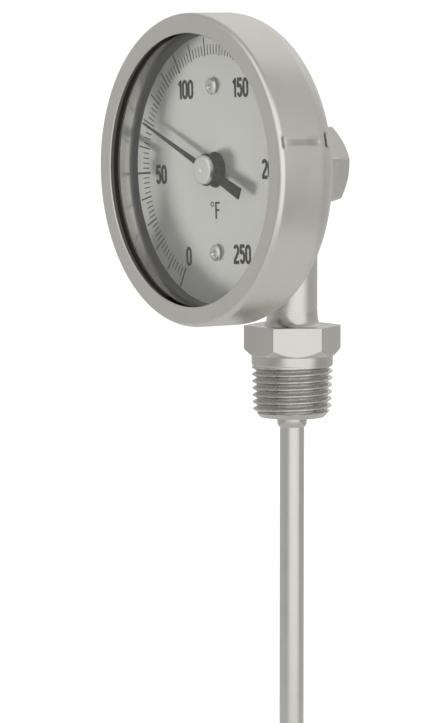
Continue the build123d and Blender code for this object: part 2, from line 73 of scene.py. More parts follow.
# ------------------------------------------------------------ places read from the frame
bezel_low, bezel_high = box_mm("bezel_ring")
FRONT_Y = bezel_low.y
CRIMP_Y = bezel_high.y
DIAL_Z = (bezel_low.z + bezel_high.z) / 2
BEZEL_R = (bezel_high.z - bezel_low.z) / 2
hub_low, hub_high = box_mm("pointer_hub")
blade_low, blade_high = box_mm("pointer_blade")
glass_low, glass_high = box_mm("window_glass")
gasket_low, gasket_high = box_mm("window_gasket")
spacer_low, spacer_high = box_mm("spacer_ring")
case_low, case_high = box_mm("case_cup")
dial_low, dial_high = box_mm("dial_plate")
screw_low, screw_high = box_mm("dial_screws")
elbow_low, elbow_high = box_mm("elbow_body")
cap_low, cap_high = box_mm("rear_hex_cap")
fitting_low, fitting_high = box_mm("process_connection")
riser_low, riser_high = box_mm("riser_tube")
stem_low, stem_high = box_mm("stem_tube")

HEAD_CLOCKING = 2.5  # the head is set this far anticlockwise


# ------------------------------------------------------------ mesh helpers
def add_piece(name, mesh, body, slot, material, *replaced):
    """Put a finished mesh in the scene, on its body, in place of the CAD nodes it stands for."""
    piece = bpy.data.objects.new(name, mesh)
    bpy.context.scene.collection.objects.link(piece)
    mesh.materials.append(material)
    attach(piece, body)
    if replaced:
        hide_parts(*replaced)
    return piece


def finish_mesh(name, work, sharp_angle=32):
    """Turn a bmesh into a mesh with outward normals, smooth but for its sharp edges."""
    bmesh.ops.recalc_face_normals(work, faces=work.faces)
    mesh = bpy.data.meshes.new(name)
    work.to_mesh(mesh)
    work.free()
    mesh.shade_smooth()
    mesh.set_sharp_from_angle(angle=math.radians(sharp_angle))
    return mesh


def add_walls(work, rings):
    """Faces between each ring of vertices and the next."""
    for this, following in zip(rings, rings[1:]):
        for i, vertex in enumerate(this):
            work.faces.new((vertex, this[i - 1], following[i - 1], following[i]))


def add_drum(work, rings):
    """Walls between rings of vertices, closed by one face at each end."""
    add_walls(work, rings)
    work.faces.new(rings[0])
    work.faces.new(rings[-1])


def skin(name, rows, sharp_angle=32):
    """A closed skin over rows of points, where the rows and the points in each row run round."""
    work = bmesh.new()
    grid = [[work.verts.new(point * MM) for point in row] for row in rows]
    add_walls(work, grid + grid[:1])
    return finish_mesh(name, work, sharp_angle)


ARC_STEP = 15  # about the angle between points of a fillet, in degrees


def rounded(corners):
    """The closed outline through the corners (along, radius, fillet), with arcs for the fillets."""
    outline = []
    for i, corner in enumerate(corners):
        here = Vector(corner[:2])
        fillet = corner[2] if len(corner) > 2 else 0
        if not fillet:
            outline.append(tuple(here))
            continue
        before = (Vector(corners[i - 1][:2]) - here).normalized()
        after = (Vector(corners[(i + 1) % len(corners)][:2]) - here).normalized()
        half = before.angle(after) / 2
        centre = here + (before + after).normalized() * fillet / math.sin(half)
        start = (here + before * fillet / math.tan(half) - centre).normalized()
        end = (here + after * fillet / math.tan(half) - centre).normalized()
        steps = max(2, round((180 - 2 * math.degrees(half)) / ARC_STEP))
        for k in range(steps + 1):
            outline.append(tuple(centre + start.slerp(end, k / steps) * fillet))
    return outline


def even_angles(count):
    """Angles in degrees, evenly round a circle."""
    return [360 * i / count for i in range(count)]


def round_dial(y, radius, angle):
    """A point at an angle round the dial axis."""
    turn = math.radians(angle)
    return Vector((radius * math.cos(turn), y, DIAL_Z + radius * math.sin(turn)))


def round_stem(z, radius, angle):
    """A point at an angle round the stem axis."""
    turn = math.radians(angle)
    return Vector((radius * math.cos(turn), radius * math.sin(turn), z))


def turned(name, corners, angles=None, reshape=None):
    """A body turned about the dial axis from a closed outline of (y, radius, fillet) corners.

    reshape(y, radius, angle) may alter a point.
    """
    rows = []
    for y, radius in rounded(corners):
        row = []
        for angle in angles or even_angles(180):
            point = (y, radius) if reshape is None else reshape(y, radius, angle)
            row.append(round_dial(*point, angle))
        rows.append(row)
    return skin(name, rows)


def smooth_step(low, high, value):
    """0 below low, 1 above high, and a smooth rise between."""
    t = min(1, max(0, (value - low) / (high - low)))
    return t * t * (3 - 2 * t)


def hex_radius(across_flats, rounding, angle):
    """Radius of a hexagon with a corner at angle 0 and slightly rounded corners."""
    from_corner = math.radians((angle + 30) % 60 - 30)
    flat = across_flats / 2 / math.cos(math.radians(30) - abs(from_corner))
    centre = across_flats / math.sqrt(3) - rounding / math.cos(math.radians(30))
    room = rounding**2 - (centre * math.sin(from_corner)) ** 2
    return min(flat, centre * math.cos(from_corner) + math.sqrt(room)) if room > 0 else flat


CORNER_ROUNDING = 0.4
EDGE = 0.14  # broken edges of the hexagons
BESIDE = 0.06  # an extra row this close to an edge keeps the flats beside it flat
HALF_SECTOR = [0, 0.45, 0.9, 1.6, 3, 5, 8, 12, 16, 20, 25, 30]  # closer together at the corner
HEX_ANGLES = sorted(
    60 * sector + side * step
    for sector in range(6)
    for side in (1, -1)
    for step in HALF_SECTOR
    if not (side == -1 and step in (0, 30))
)


def hex_row(across_flats):
    """Radii of a hexagon at each of its angles."""
    return [hex_radius(across_flats, CORNER_ROUNDING, angle) for angle in HEX_ANGLES]


def evenly(spots):
    """Rows of one point (along, radius) repeated at every angle of the hexagon."""
    return [[spot] * len(HEX_ANGLES) for spot in spots]


# ------------------------------------------------------------ materials
def start_material(name):
    """A new material, its node tree and its main shader."""
    made = bpy.data.materials.new(name)
    made.use_nodes = True
    return made, made.node_tree, made.node_tree.nodes["Principled BSDF"]


def add_node(tree, kind, inputs=(), **settings):
    """A node with its settings, and its inputs given as {socket: value or output socket}."""
    node = tree.nodes.new(kind)
    for key, value in settings.items():
        setattr(node, key, value)
    for socket, value in dict(inputs).items():
        if isinstance(value, bpy.types.NodeSocket):
            tree.links.new(value, node.inputs[socket])
        else:
            node.inputs[socket].default_value = value
    return node


def add_math(tree, operation, a, b=0.0):
    """The result of a maths node on a, or on a and b."""
    return add_node(tree, "ShaderNodeMath", {0: a, 1: b}, operation=operation).outputs[0]


def map_range(tree, value, start, end, low=0.0, high=1.0, curve="LINEAR"):
    """Carry a value from start and end to low and high, held at both ends."""
    inputs = {"Value": value, "From Min": start, "From Max": end, "To Min": low, "To Max": high}
    return add_node(tree, "ShaderNodeMapRange", inputs, interpolation_type=curve).outputs[0]


def noise(tree, place, scale, detail, roughness=0.5):
    """Noise from 0 to 1 over a place in millimetres, finer for a larger scale."""
    inputs = {"Vector": place, "Scale": scale, "Detail": detail, "Roughness": roughness}
    return add_node(tree, "ShaderNodeTexNoise", inputs).outputs["Fac"]


def mix_colours(tree, factor, dark, light):
    """A colour between two, by a factor from 0 to 1."""
    inputs = {"Factor": factor, 6: (*dark, 1), 7: (*light, 1)}
    return add_node(tree, "ShaderNodeMix", inputs, data_type="RGBA").outputs[2]


def add_bump(tree, shader, height, strength, distance):
    """Roughen the shader's surface by a height of up to a distance in millimetres."""
    inputs = {"Strength": strength, "Distance": distance * MM, "Height": height}
    bump = add_node(tree, "ShaderNodeBump", inputs)
    tree.links.new(bump.outputs[0], shader.inputs["Normal"])


def place_in_mm(tree, origin=(0, 0, 0)):
    """The surface point in millimetres from an origin in the frame."""
    where = add_node(tree, "ShaderNodeTexCoord").outputs["Object"]
    shifted = add_node(
        tree, "ShaderNodeVectorMath", {0: where, 1: Vector(origin) * MM}, operation="SUBTRACT"
    )
    scaled = add_node(
        tree, "ShaderNodeVectorMath", {0: shifted.outputs[0], "Scale": 1 / MM}, operation="SCALE"
    )
    return scaled.outputs[0]


LINE_STRETCH = 0.02  # millimetres along a straight line count this much of those across it
ROUND_STRETCH = 0.6  # a radian along a round line counts as this many millimetres across it


def grain_place(tree, grain):
    """Coordinates in which fine lines run round the dial axis, round the stem, or along the stem."""
    if grain == "along":
        inputs = {0: place_in_mm(tree), 1: (1, 1, LINE_STRETCH)}
        return add_node(tree, "ShaderNodeVectorMath", inputs, operation="MULTIPLY").outputs[0]
    centre = (0, 0, DIAL_Z) if grain == "dial" else (0, 0, 0)
    parts = add_node(tree, "ShaderNodeSeparateXYZ", {0: place_in_mm(tree, centre)})
    x = parts.outputs["X"]
    other, along = ("Z", "Y") if grain == "dial" else ("Y", "Z")
    y = parts.outputs[other]
    squares = add_math(tree, "ADD", add_math(tree, "MULTIPLY", x, x), add_math(tree, "MULTIPLY", y, y))
    radius = add_math(tree, "SQRT", squares)
    turn = add_math(tree, "MULTIPLY", add_math(tree, "ARCTAN2", y, x), ROUND_STRETCH)
    made = add_node(tree, "ShaderNodeCombineXYZ", {0: radius, 1: parts.outputs[along], 2: turn})
    return made.outputs[0]


TOOL_LINE_DEPTH = 0.004  # millimetres, for a depth of 1 in metal
SKIN_DEPTH = 0.01  # the same in coating


def metal(name, colour, roughness, grain="dial", lines=5.0, depth=0.6, mottle=0.03, anisotropy=0.0):
    """Worked metal: fine tool lines, and faint broad changes of tone and gloss."""
    made, tree, shader = start_material(name)
    fine = noise(tree, grain_place(tree, grain), scale=lines, detail=3.0, roughness=0.6)
    broad = noise(tree, place_in_mm(tree), scale=0.09, detail=4.0, roughness=0.55)
    darker = [c * (1 - 2 * mottle) for c in colour]
    lighter = [min(1, c * (1 + 2 * mottle)) for c in colour]
    tree.links.new(mix_colours(tree, broad, darker, lighter), shader.inputs["Base Color"])
    both = add_math(tree, "ADD", fine, broad)
    rough = map_range(tree, both, 0.6, 1.4, low=roughness * 0.85, high=roughness * 1.15)
    tree.links.new(rough, shader.inputs["Roughness"])
    add_bump(tree, shader, fine, depth, TOOL_LINE_DEPTH)
    shader.inputs["Metallic"].default_value = 1.0
    if anisotropy:
        shader.inputs["Anisotropic"].default_value = anisotropy
        axis = "Y" if grain == "dial" else "Z"
        tangent = add_node(tree, "ShaderNodeTangent", direction_type="RADIAL", axis=axis)
        tree.links.new(tangent.outputs[0], shader.inputs["Tangent"])
    return made


def soft_band(tree, value, centre, half):
    """1 near the centre of a band, falling smoothly to 0 at its edges."""
    away = add_math(tree, "ABSOLUTE", add_math(tree, "SUBTRACT", value, centre))
    return map_range(tree, away, half, 0.4 * half, curve="SMOOTHSTEP")


def stain(made, angle, radius, marks):
    """Darken a turned metal at marks (aside, half aside, y, half y, strength): stains, and painted shade
    where a mark stands for the shade in a hollow.

    Aside is measured in millimetres round a radius, from an angle.
    """
    tree = made.node_tree
    shader = tree.nodes["Principled BSDF"]
    parts = add_node(tree, "ShaderNodeSeparateXYZ", {0: place_in_mm(tree, (0, 0, DIAL_Z))})
    turn = add_math(tree, "ARCTAN2", parts.outputs["Z"], parts.outputs["X"])
    aside = add_math(tree, "MULTIPLY", add_math(tree, "SUBTRACT", turn, math.radians(angle)), radius)
    unmarked = None
    for centre, half, y, half_y, strength in marks:
        across = soft_band(tree, aside, centre, half)
        along = soft_band(tree, parts.outputs["Y"], y, half_y)
        mark = add_math(tree, "MULTIPLY", add_math(tree, "MULTIPLY", across, along), strength)
        left = add_math(tree, "SUBTRACT", 1.0, mark)
        unmarked = left if unmarked is None else add_math(tree, "MULTIPLY", unmarked, left)
    tones = shader.inputs["Base Color"].links[0].from_socket
    darker = add_node(tree, "ShaderNodeVectorMath", {0: tones, "Scale": unmarked}, operation="SCALE")
    tree.links.new(darker.outputs[0], shader.inputs["Base Color"])


def coating(name, dark, light, roughness, scale, depth, ior=1.5):
    """Paint, enamel or moulded rubber: a fine skin texture with slightly uneven colour."""
    made, tree, shader = start_material(name)
    texture = noise(tree, place_in_mm(tree), scale=scale, detail=4.0, roughness=0.6)
    tree.links.new(mix_colours(tree, texture, dark, light), shader.inputs["Base Color"])
    rough = map_range(tree, texture, 0.0, 1.0, low=roughness * 0.8, high=roughness * 1.2)
    tree.links.new(rough, shader.inputs["Roughness"])
    add_bump(tree, shader, texture, depth, SKIN_DEPTH)
    shader.inputs["IOR"].default_value = ior
    return made


def clear_glass(name):
    """Float glass with a faint green tint, which lets the lamps' light through to the dial."""
    made, tree, shader = start_material(name)
    streaks = noise(tree, place_in_mm(tree), scale=0.05, detail=2.0)
    tint = mix_colours(tree, streaks, (0.965, 0.975, 0.965), (0.98, 0.985, 0.975))
    tree.links.new(tint, shader.inputs["Base Color"])
    shader.inputs["Roughness"].default_value = 0.0
    shader.inputs["IOR"].default_value = 1.5
    shader.inputs["Transmission Weight"].default_value = 1.0
    clear = add_node(tree, "ShaderNodeBsdfTransparent", {"Color": (0.94, 0.945, 0.93, 1)})
    rays = add_node(tree, "ShaderNodeLightPath")
    mixed = add_node(
        tree,
        "ShaderNodeMixShader",
        {0: rays.outputs["Is Shadow Ray"], 1: shader.outputs[0], 2: clear.outputs[0]},
    )
    tree.links.new(mixed.outputs[0], tree.nodes["Material Output"].inputs["Surface"])
    return made


CASE_STEEL = metal("case_satin_steel", (0.66, 0.645, 0.61), 0.3, "dial", lines=4.0, anisotropy=0.3)
BACK_STEEL = metal("case_back_steel", (0.62, 0.61, 0.58), 0.4, "dial", lines=3.0, anisotropy=0.4)
FITTING_STEEL = metal("fitting_machined_steel", (0.57, 0.56, 0.53), 0.19, "stem", lines=3.0, depth=0.06)
CAP_STEEL = metal("cap_machined_steel", (0.6, 0.59, 0.56), 0.3, "dial", lines=3.0, depth=0.15)
STEM_STEEL = metal("stem_ground_steel", (0.62, 0.61, 0.585), 0.3, "stem", lines=6.0, depth=0.5)
TUBE_STEEL = metal("tube_satin_steel", (0.62, 0.61, 0.58), 0.3, "along", lines=4.0)
WELD_STEEL = metal("weld_steel", (0.55, 0.53, 0.49), 0.26, "stem", lines=1.5, depth=1.0, mottle=0.08)
POLISHED_STEEL = metal("polished_steel", (0.92, 0.91, 0.88), 0.23, "dial", lines=2.0, depth=0.05)
SHAFT_STEEL = metal("drawn_shaft_steel", (0.56, 0.56, 0.55), 0.28, "along", lines=6.0)
SCREW_STEEL = metal("screw_plating", (0.72, 0.71, 0.68), 0.2, "dial", lines=3.0, depth=0.3)
HUB_SILVER = metal("hub_turned_aluminium", (0.95, 0.95, 0.92), 0.34, "dial", lines=7.0, depth=0.8)
BRASS = metal("turned_brass", (0.5, 0.4, 0.2), 0.3, "dial", lines=5.0)
BIMETAL = metal("rolled_bimetal", (0.6, 0.48, 0.33), 0.35, "along", lines=3.0)
RUBBER = coating("black_rubber", (0.012, 0.011, 0.01), (0.018, 0.016, 0.015), 0.65, 2.5, 0.5, 1.25)
DIAL_WHITE = coating("dial_enamel", (0.435, 0.435, 0.42), (0.452, 0.452, 0.437), 0.5, 1.2, 0.12)
PRINT_BLACK = coating("dial_print", (0.008, 0.008, 0.008), (0.016, 0.016, 0.016), 0.6, 4.0, 0.2, 1.2)
POINTER_BLACK = coating("pointer_paint", (0.01, 0.01, 0.009), (0.018, 0.018, 0.016), 0.6, 3.0, 0.3, 1.12)
WINDOW = clear_glass("window_glass_clear")


def dress(material, *names):
    """Give CAD nodes that stay as they are their finished material."""
    for name in names:
        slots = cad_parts[name].data.materials
        slots.clear()
        slots.append(material)


dress(STEM_STEEL, "stem_tube", "stem_tip_plug")
dress(TUBE_STEEL, "riser_tube")
dress(SHAFT_STEEL, "stem_shaft", "pointer_shaft", "wave_washer", "dial_posts", "flexible_coupling")
dress(BRASS, "shaft_guide_top", "shaft_guide_mid", "shaft_guide_low", "coil_hub", "retaining_nut")
dress(BRASS, "pointer_bearing", "pointer_collar")
dress(BIMETAL, "bimetal_coil")
dress(RUBBER, "cap_seal", "case_seal")


# ------------------------------------------------------------ process connection
HEX_AF = 22.225
HEX_HEIGHT = 7.9
CORNER_DROP = 1.8
FACE_R = 10.95
CORNER_R = HEX_AF / math.sqrt(3)
NECK_R = 10.65
NECK_LENGTH = 2.2
PITCH = 25.4 / 14
THREAD_DEPTH = 1.3
TAPER = 1 / 32
THREAD_BOTTOM = -14.1
LEAD_TOP_R = NECK_R - 0.37  # the lead-in meets the thread's cone here
NOSE_Z = -16.2
NOSE_R = 8.4
STEM_WALL = 0.5
STEM_BORE_R = (stem_high.x - stem_low.x) / 2 - STEM_WALL
RISER_R = (riser_high.x - riser_low.x) / 2
SOCKET_FLOOR_Z = 2.9  # the riser stands in a socket in the hexagon
WELD_TOP_Z = fitting_high.z
WELD_END_Z = fitting_low.z
WELD_EDGE = 0.06  # thickness of the riser's weld where it runs out
WELD_FLARE = 1.05


def corner_height(radius):
    """Height of the turned chamfer under the hexagon's corners."""
    return max(0, (radius - FACE_R) * CORNER_DROP / (CORNER_R - FACE_R))


def thread_radius(z, angle):
    """The taper thread's surface: a 60 degree V cut into a 1 in 16 cone, through the lead-in."""
    cone = NECK_R + (z + NECK_LENGTH) * TAPER
    turns = (z - NOSE_Z) / PITCH - angle / 360
    from_root = PITCH * abs(turns - round(turns))
    cut = min(0.94 * THREAD_DEPTH, THREAD_DEPTH * (1 - from_root / (0.43 * PITCH)))
    runout = smooth_step(-NECK_LENGTH, -NECK_LENGTH - 0.6 * PITCH, z)
    lead_in = NOSE_R + (z - NOSE_Z) * (LEAD_TOP_R - NOSE_R) / (THREAD_BOTTOM - NOSE_Z)
    return min(cone - max(0, cut) * runout, lead_in)


def fitting_rows():
    """The fitting's outline at each angle, from the riser's weld down the outside and up the bore."""
    weld = []
    for k in range(9):  # concave weld that runs out on the riser
        share = k / 8
        flare = WELD_FLARE * (1 - math.sqrt(1 - share**2.2))
        weld.append((WELD_TOP_Z - share * (WELD_TOP_Z - HEX_HEIGHT), RISER_R + WELD_EDGE + flare))
    rows = evenly(weld)
    hexes = hex_row(HEX_AF)
    rows.append([(HEX_HEIGHT, r - 2.2 * EDGE) for r in hexes])
    rows.append([(HEX_HEIGHT - 0.3 * EDGE, r - 0.7 * EDGE) for r in hexes])
    rows.append([(HEX_HEIGHT - EDGE, r) for r in hexes])
    rows.append([(HEX_HEIGHT - EDGE - BESIDE, r) for r in hexes])
    rows.append([(corner_height(r) + EDGE + BESIDE, r) for r in hexes])
    rows.append([(corner_height(r) + EDGE, r) for r in hexes])
    rows.append([(corner_height(r - EDGE), r - EDGE) for r in hexes])
    rows.append([(corner_height(r - EDGE - BESIDE), r - EDGE - BESIDE) for r in hexes])
    rows.append([(0, min(FACE_R, r - 2 * EDGE)) for r in hexes])
    rows += evenly([(0, NECK_R)])
    steps = 160
    for k in range(steps + 1):
        z = -0.4 * NECK_LENGTH + (NOSE_Z + 0.4 * NECK_LENGTH) * k / steps
        rows.append([(z, thread_radius(z, angle)) for angle in HEX_ANGLES])
    collar = [(NOSE_Z, 4.4), (-16.5, 4.0), (-17.2, 3.92), (-18.0, 3.8), (-18.6, 3.6), (WELD_END_Z, 3.3)]
    bore = [(WELD_END_Z, STEM_BORE_R), (SOCKET_FLOOR_Z, STEM_BORE_R)]
    socket = [(SOCKET_FLOOR_Z, RISER_R), (WELD_TOP_Z, RISER_R)]
    return rows + evenly(collar + bore + socket)


fitting = skin(
    "fitting_body",
    [[round_stem(*spot, angle) for spot, angle in zip(row, HEX_ANGLES)] for row in fitting_rows()],
    sharp_angle=40,
)
add_piece("fitting_body", fitting, "stem", "fitting_steel", FITTING_STEEL, "process_connection")


# ------------------------------------------------------------ elbow and rear cap
BARREL_R = 9.0
BARREL_BORE_R = 7.0
BEARING_R = 3.0
SPIGOT_R = 6.0
CLEARANCE = 0.05
SPIGOT_LENGTH = 5.0
SHOULDER_WALL = 2.3  # wall between the barrel's bore and its front shoulder
SHOULDER_Y = elbow_low.y + SPIGOT_LENGTH
BORE_FLOOR_Y = SHOULDER_Y + SHOULDER_WALL
SEAT_R = 8.3  # the sealing washer lies in this step of the bore
SEAT_DEPTH = 0.8
ELBOW_HEX_Y = 4.2  # the elbow is hexagonal behind this
CAP_AF = 19.05
CAP_TURN = 12
CAP_FLANK_R = 9.2
CAP_SPIGOT_R = BARREL_BORE_R - CLEARANCE
CAP_HOLLOW_R = 5.0
CAP_HOLLOW_DEPTH = 3.9
CAP_PIN_R = 0.4  # centre hole of the cap
MEETING_EDGE = 0.03  # broken edges where the elbow's hexagon meets the cap's


def elbow_rows():
    """The elbow's outline at each angle: spigot, shoulder, barrel, hexagonal rear and bore."""
    hexes = hex_row(CAP_AF)
    rear = elbow_high.y
    outside = [(elbow_low.y, BEARING_R), (elbow_low.y, SPIGOT_R - 0.3), (elbow_low.y + 0.3, SPIGOT_R)]
    outside += [(SHOULDER_Y, SPIGOT_R), (SHOULDER_Y, BARREL_R - 0.6), (SHOULDER_Y + 0.1, BARREL_R - 0.3)]
    outside += [(SHOULDER_Y + 0.6, BARREL_R), (ELBOW_HEX_Y, BARREL_R)]
    rows = evenly(outside)
    rows.append([(ELBOW_HEX_Y, r - EDGE) for r in hexes])
    rows.append([(ELBOW_HEX_Y + EDGE, r) for r in hexes])
    rows.append([(ELBOW_HEX_Y + EDGE + BESIDE, r) for r in hexes])
    rows.append([(rear - MEETING_EDGE, r) for r in hexes])
    rows.append([(rear, r - MEETING_EDGE) for r in hexes])
    seat = [(rear, SEAT_R), (rear - SEAT_DEPTH, SEAT_R), (rear - SEAT_DEPTH, BARREL_BORE_R)]
    bore = [(BORE_FLOOR_Y, BARREL_BORE_R), (BORE_FLOOR_Y, BEARING_R)]
    return rows + evenly(seat + bore)


def hexagonal(name, rows):
    """A closed skin through rows of (along, radius) about the dial axis, turned with the cap."""
    placed = []
    for row in rows:
        placed.append([round_dial(*spot, angle + CAP_TURN) for spot, angle in zip(row, HEX_ANGLES)])
    return skin(name, placed, sharp_angle=40)


elbow = hexagonal("elbow_barrel", elbow_rows())
add_piece("elbow_barrel", elbow, "stem", "tube_steel", TUBE_STEEL, "elbow_body")


def saddle_weld():
    """A fillet weld round the joint of the riser and the barrel, with faint ripples."""
    rows = []
    bead_r = 0.75
    for i in range(160):
        turn = 2 * math.pi * i / 160
        out = Vector((math.cos(turn), math.sin(turn), 0))
        seat = out * (RISER_R + 0.1)
        seat.z = DIAL_Z - math.sqrt((BARREL_R + 0.1) ** 2 - seat.x**2)
        radius = bead_r * (1 + 0.06 * math.sin(34 * turn))
        row = []
        for k in range(12):
            spin = 2 * math.pi * k / 12
            row.append(seat + out * radius * math.cos(spin) + Vector((0, 0, radius * math.sin(spin))))
        rows.append(row)
    return skin("riser_weld", rows)


add_piece("riser_weld", saddle_weld(), "stem", "tube_steel", WELD_STEEL)


def cap_rows():
    """The hexagonal cap, with its rear corners turned off at 30 degrees and a dished face."""
    slope = math.tan(math.radians(30))
    hexes = hex_row(CAP_AF)
    front, rear = cap_low.y, cap_high.y
    flange = elbow_high.y
    rows = [[(flange, r - MEETING_EDGE) for r in hexes]]
    rows.append([(flange + MEETING_EDGE, r) for r in hexes])
    rows.append([(flange + MEETING_EDGE + BESIDE, r) for r in hexes])
    rows.append([(rear - max(0, r - CAP_FLANK_R) * slope - EDGE - BESIDE, r) for r in hexes])
    rows.append([(rear - max(0, r - CAP_FLANK_R) * slope - EDGE, r) for r in hexes])
    rows.append([(rear - max(0, r - EDGE - CAP_FLANK_R) * slope, r - EDGE) for r in hexes])
    dished = [(rear, CAP_FLANK_R - 0.1), (rear, 6.4), (rear - 0.25, 6.1), (rear - 0.3, CAP_PIN_R)]
    hollow_y = flange - CAP_HOLLOW_DEPTH
    hollow = [(hollow_y, CAP_PIN_R), (hollow_y, CAP_HOLLOW_R), (front, CAP_HOLLOW_R)]
    spigot = [(front, CAP_SPIGOT_R), (flange, CAP_SPIGOT_R)]
    return rows + evenly(dished + hollow + spigot)


cap = hexagonal("rear_cap", cap_rows())
add_piece("rear_cap", cap, "stem", "fitting_steel", CAP_STEEL, "rear_hex_cap")


# ------------------------------------------------------------ bezel, case, gasket, glass
SHEET = 0.9
EDGE_SHEET = 0.4  # the front lip is this thin at the opening
OPENING_R = 35.0
UNDERCUT_R = 35.5
ROLL_R = 6.6
ROLL_ANGLE = 60
ROLL_Y = CRIMP_Y - ROLL_R * math.sin(math.radians(ROLL_ANGLE))
ROLL_CENTRE_R = BEZEL_R - ROLL_R
CRIMP_R = 35.3
SEAM_ANGLE = 11.8  # butt weld of the rolled ring, on the reader's right
SEAM_DEPTH = 0.12
SEAM_HALF = 0.75
SEAM_FRONT_Y = FRONT_Y + 1.6
SEAM_REAR_Y = ROLL_Y + 0.6
PIT_Y = FRONT_Y + 1.5
PIT_DEPTH = 0.3
EDGE_Y = ROLL_Y + 2.3  # groove in the rounding, along the rolled ring's edge
EDGE_DEPTH = 0.12
NOTCH_ASIDE = 0.5  # prying notch in that edge, beside the seam's middle
NOTCH_HALF = 2.0
NOTCH_DEPTH = 0.8
BEZEL_ANGLES = sorted(
    {round(1.5 * i, 3) for i in range(240)} | {round(SEAM_ANGLE + 0.2 * i, 3) for i in range(-24, 25)}
)


def roll(arc_r, start, end, step=5):
    """Points (y, radius) on the rear rounding, by angles in degrees from the wall."""
    count = max(1, round(abs(end - start) / step))
    points = []
    for k in range(count + 1):
        turn = math.radians(start + (end - start) * k / count)
        points.append((ROLL_Y + arc_r * math.sin(turn), ROLL_CENTRE_R + arc_r * math.cos(turn)))
    return points


def roll_angle(arc_r, y):
    """Where an arc of that rounding reaches y, in degrees from the wall."""
    return math.degrees(math.asin((y - ROLL_Y) / arc_r))


def mark_bezel(y, radius, angle):
    """Press the weld seam, the pit at its front end, the edge groove and its notch into the skirt."""
    on_wall = radius > BEZEL_R - 0.5
    on_roll = y > ROLL_Y and math.hypot(y - ROLL_Y, radius - ROLL_CENTRE_R) > ROLL_R - 0.1
    if not (on_wall or on_roll):
        return y, radius
    aside = math.radians(angle - SEAM_ANGLE) * BEZEL_R
    along = smooth_step(FRONT_Y + 1.4, FRONT_Y + 2.4, y) * smooth_step(ROLL_Y + 0.3, ROLL_Y - 0.8, y)
    radius -= SEAM_DEPTH * along * math.exp(-((aside / SEAM_HALF) ** 2))
    radius -= PIT_DEPTH * math.exp(-((aside / 1.3) ** 2) - ((y - PIT_Y) / 0.4) ** 2)
    radius -= EDGE_DEPTH * math.exp(-(((y - EDGE_Y) / 0.2) ** 2))
    in_notch = max(0, 1 - ((aside - NOTCH_ASIDE) / NOTCH_HALF) ** 2)
    radius -= NOTCH_DEPTH * in_notch * math.exp(-(((y - EDGE_Y) / 0.55) ** 4))
    return y, radius


CASE_BACK_Y = CRIMP_Y - SHEET
ROW_GAP = 0.35  # rows this close take the seam's and the pit's shape
inner_roll_r = ROLL_R - SHEET
skirt_rows = [(FRONT_Y + 1.5 + ROW_GAP * k, BEZEL_R) for k in range(32)]
bezel_outline = [
    (CASE_BACK_Y, CRIMP_R, 0.2),
    (CRIMP_Y, CRIMP_R, 0.3),
    *roll(ROLL_R, ROLL_ANGLE, 0, 1.7),
    *reversed(skirt_rows),
    (FRONT_Y, BEZEL_R, 1.4),
    (FRONT_Y, OPENING_R, 0.3),
    (FRONT_Y + EDGE_SHEET, OPENING_R, 0.05),
    (FRONT_Y + EDGE_SHEET, UNDERCUT_R, 0.05),
    (FRONT_Y + SHEET, UNDERCUT_R, 0.05),
    (FRONT_Y + SHEET, BEZEL_R - SHEET, 0.5),
    *roll(inner_roll_r, 0, roll_angle(inner_roll_r, CASE_BACK_Y)),
]
# the seam, the tinge at its rear end, the pit, and painted shade in the notch's gap, in the form that the
# darkening function takes
SEAM_MARKS = [
    (0, 1.1, (SEAM_FRONT_Y + SEAM_REAR_Y) / 2, (SEAM_REAR_Y - SEAM_FRONT_Y) / 2, 0.26),
    (0.2, 2.0, ROLL_Y - 1.8, 3.0, 0.12),
    (0.2, 2.2, PIT_Y - 0.1, 0.8, 0.5),
    # painted shade: this mark darkens the colour in the notch, standing in for the shade in its gap
    (NOTCH_ASIDE, 2.6, EDGE_Y, 0.9, 0.85),
]
stain(CASE_STEEL, SEAM_ANGLE, BEZEL_R, SEAM_MARKS)
bezel = turned("bezel", bezel_outline, angles=BEZEL_ANGLES, reshape=mark_bezel)
add_piece("bezel", bezel, "head", "case_steel", CASE_STEEL, "bezel_ring")

CASE_R = (case_high.x - case_low.x) / 2
CASE_WALL = 0.8
CASE_HOLE_R = SPIGOT_R + CLEARANCE
PANEL_DEPTH = 0.35  # pressed ring of the case back
back = case_high.y
panel_y = back - PANEL_DEPTH
floor_y = back - 1.0
outside_roll_r = CASE_R - ROLL_CENTRE_R
inside_roll_r = outside_roll_r - CASE_WALL
case = turned(
    "case_shell",
    [
        (back, CASE_HOLE_R),
        (back - 0.05, 11.0, 0.3),
        (panel_y, 11.6, 0.3),
        (panel_y, 26.0, 0.3),
        (back, 26.8, 0.3),
        *roll(outside_roll_r, roll_angle(outside_roll_r, back), 0),
        (case_low.y, CASE_R),
        (case_low.y, CASE_R - CASE_WALL),
        *roll(inside_roll_r, 0, roll_angle(inside_roll_r, floor_y)),
        (floor_y, CASE_HOLE_R),
    ],
)
add_piece("case_shell", case, "head", "case_steel", BACK_STEEL, "case_cup")

GASKET_R = (gasket_high.x - gasket_low.x) / 2
GLASS_R = (glass_high.x - glass_low.x) / 2
GASKET_BORE_R = 35.4
LIP_FRONT_Y = FRONT_Y + EDGE_SHEET + 0.03  # the gasket's lip fills the bezel's undercut
LIP_R = UNDERCUT_R - 0.02
gasket = turned(
    "glass_gasket",
    [
        (LIP_FRONT_Y, GASKET_BORE_R, 0.02),
        (LIP_FRONT_Y, LIP_R, 0.02),
        (gasket_low.y, LIP_R, 0.02),
        (gasket_low.y, GASKET_R, 0.3),
        (gasket_high.y, GASKET_R, 0.3),
        (gasket_high.y, GASKET_BORE_R, 0.3),
        (glass_high.y, GASKET_BORE_R, 0.2),
        (glass_high.y, GLASS_R),
        (glass_low.y, GLASS_R),
        (glass_low.y, GASKET_BORE_R, 0.2),
    ],
)
add_piece("glass_gasket", gasket, "head", "black_rubber", RUBBER, "window_gasket")


